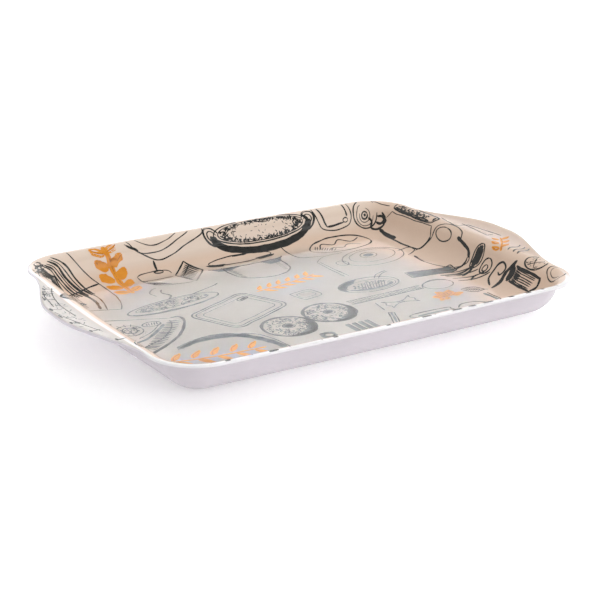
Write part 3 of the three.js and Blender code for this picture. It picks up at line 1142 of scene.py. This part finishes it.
def printedSheetFinish():
    material, graph, shader, cloud, edge = newGlazedMaterial("printed_sheet")
    fibre = grainAt(graph, paper["fibre"], detail=3, roughness=0.7)
    tone = cloud * 0.7 + fibre * 0.3
    warm = rampOf(graph, tone, [(0.30, paper["deep"]), (0.68, paper["light"])])
    pale = rampOf(graph, tone, [(0.30, paper["paleDeep"]), (0.68, paper["paleLight"])])
    x, y, z = graph.place()
    left = inBand(graph, x, "left")
    nearSide = left.most(inBand(graph, y, "front") * inBand(graph, x, "right"))
    # a white band along the sheet's top edge at the front and the left: at the front it stands for the
    # white unprinted edge, at the left it is a painted highlight along the ridge
    climbed = (z - (left * margin["higherAtLeft"] + margin["foot"])) / margin["blend"]
    whiteRimAndHighlight = graph.step(climbed, 0, 1) * (1 - inBand(graph, z, "marginHead")) * nearSide
    # painted light: the back wall above its foot is made paler, as where light falls on it from the front
    backPaintedLight = inBand(graph, y, "backPaintedLight") * inBand(graph, z, "backRise") * inBand(graph, x, "backEnd")
    # painted shade: the right handle and the top of the right wall are made darker
    flankShade = inBand(graph, x, "flankShade") * inBand(graph, z, "flankRise")
    # painted light: the walls take a warmer, more saturated beige than the middle of the floor, standing in
    # for the light the beige walls throw onto each other
    colour = graph.blendColours(edge, pale, warm)
    # painted reflection: in this loop the top of the left handle is made greyer, for the bright backdrop it
    # mirrors
    for share, name in ((backPaintedLight * 0.85, "backPaintedLight"), (flankShade * 0.6, "flankShade"),
                        (inBand(graph, z, "flangeReflection") * left, "flangeReflection"), (whiteRimAndHighlight, "margin")):
        colour = graph.blendColours(share, colour, paper[name])
    graph.feed(shader.inputs["Base Color"], colour)
    graph.feed(shader.inputs["Roughness"], grainAt(graph, 90) * 0.12 + paper["roughness"] - 0.06)
    addBump(graph, shader, grainAt(graph, 120, detail=2) * 0.8 + fibre * 0.2, 0.08, 0.0005)
    return material


def inkFinish(name):
    look = inks[name]
    material, graph, shader, cloud, edge = newGlazedMaterial(name)
    density = grainAt(graph, 210, detail=4, roughness=0.7) * 0.6 + grainAt(graph, 36, detail=2) * 0.4
    colour = rampOf(graph, density, [(0.36, look["full"]), (0.66, look["thin"])])
    graph.feed(shader.inputs["Base Color"], colour)
    graph.feed(shader.inputs["Roughness"], density * 0.2 + inkRoughness - 0.1)
    addBump(graph, shader, density, 0.05, 0.0004)
    return material


def finishPiece(piece, slot, *nodes):
    for name in ("flat", "up", "level"):
        found = piece.data.attributes.get(name)
        if found:
            piece.data.attributes.remove(found)
    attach(piece, "root")
    if nodes:
        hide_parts(*nodes)
    print(piece.name, len(piece.data.polygons), "faces")


white = whiteMelamine()
printedPaper = printedSheetFinish()
darkInk, slateInk, orangeInk, amberInk = [inkFinish(name) for name in inks]

# the sheet's upper face alone, which the strokes are laid over
drape = loftTray("drape", upperRows(decor["depth"], decor["edge"]), white)
# name, strokes, ink, whether the ribbons are broad, seed, and height over the sheet in mm
prints = (
    ("ink_outlines", "outline", darkInk, False, 3, 0.050),
    ("ink_shadows", "shadow", darkInk, True, 5, 0.044),
    ("slate_strokes", "slate", slateInk, True, 8, 0.032),
    ("orange_sketches", "orange", orangeInk, True, 13, 0.036),
    ("amber_outlines", "amber", amberInk, False, 13, 0.041),
)
printed = [layStrokes(name, kind, drape, material, wide, seed, lift)
           for name, kind, material, wide, seed, lift in prints]
bpy.data.objects.remove(drape)

finishPiece(loftTray("moulded_tray", bodyRows(), white), "white_melamine", "tray_body")
finishPiece(loftTray("printed_sheet", sheetRows(), printedPaper), "printed_decor",
            "printed_foil", "clear_glaze")
for piece in printed:
    finishPiece(piece, "printed_decor")


# A pale floor and sky, a broad lamp in front and a low glow behind, in metres and degrees.
studio = dict(floorHalf=12, floorColour=(0.95, 0.95, 0.95, 1), floorGlow=0.19, sky=0.88, dimSky=0.36,
              dimSide=(-0.55, -0.83, 0), dimBand=(0.5, 0.95))
lamps = dict(key=dict(place=(0.9, -2.4, 0.9), size=1.8, power=16.5, glint=0.0),
             glow=dict(away=2.5, turn=20, height=0.66, wide=4.0, tall=1.1, power=15.0))
shot = dict(place=(-0.6487, -1.0483, 0.4449), pitch=19.628, yaw=31.877, lens=89.6, sensor=36)


def buildStage():
    half = studio["floorHalf"]
    mesh = bpy.data.meshes.new("studio_floor")
    corners = [(-half, -half, 0), (half, -half, 0), (half, half, 0), (-half, half, 0)]
    mesh.from_pydata(corners, [], [(0, 1, 2, 3)])
    material, graph, shader = newMaterial("studio_floor", {
        "IOR": 1.45, "Base Color": studio["floorColour"], "Emission Color": studio["floorColour"],
        "Emission Strength": studio["floorGlow"]})
    graph.feed(shader.inputs["Roughness"], grainAt(graph, 40) * 0.04 + 0.10)
    mesh.materials.append(material)
    linkObject("studio_floor", mesh)


def addLamp(name, place, size, power, tall=None):
    data = bpy.data.lights.new(name, "AREA")
    data.shape, data.size, data.energy = "DISK" if tall is None else "RECTANGLE", size, power
    data.size_y = tall or size
    lamp = linkObject(name, data)
    lamp.location = place
    lamp.rotation_euler = (-Vector(place)).to_track_quat("-Z", "Y").to_euler()
    lamp.visible_camera = False
    return data


# Pale all round but dimmer behind the camera, with a low glow behind the tray that its floor
# mirrors. The glow throws no shadows, so the far wall doesn't hide it from the floor.
def lightStage():
    world = bpy.data.worlds.new("studio")
    bpy.context.scene.world = world
    world.use_nodes = True
    world.node_tree.nodes.clear()
    graph = Graph(world.node_tree)
    towards = graph.vectors("DOT_PRODUCT", graph.node("ShaderNodeTexCoord"), studio["dimSide"], output=1)
    strength = graph.step(towards, *studio["dimBand"], studio["sky"], studio["dimSky"])
    background = graph.node("ShaderNodeBackground", None, {"Color": (1, 1, 1, 1), "Strength": strength})
    end = graph.tree.nodes.new("ShaderNodeOutputWorld")
    graph.tree.links.new(background.socket, end.inputs[0])
    key, glow = lamps["key"], lamps["glow"]
    soft = addLamp("key", key["place"], key["size"], key["power"])
    soft.specular_factor = key["glint"]
    yaw = math.radians(shot["yaw"] + glow["turn"])
    place = (glow["away"] * math.sin(yaw), glow["away"] * math.cos(yaw), glow["height"])
    low = addLamp("glow", place, glow["wide"], glow["power"], glow["tall"])
    low.use_shadow = False
    low.cycles.use_multiple_importance_sampling = False


def placeCamera():
    data = bpy.data.cameras.new("shot")
    data.lens, data.sensor_width = shot["lens"], shot["sensor"]
    camera = linkObject("shot", data)
    camera.location = shot["place"]
    camera.rotation_euler = (math.radians(90 - shot["pitch"]), 0, -math.radians(shot["yaw"]))
    bpy.context.scene.camera = camera
    bpy.context.scene.view_settings.view_transform = "Standard"


buildStage()
lightStage()
placeCamera()
print("studio ready")
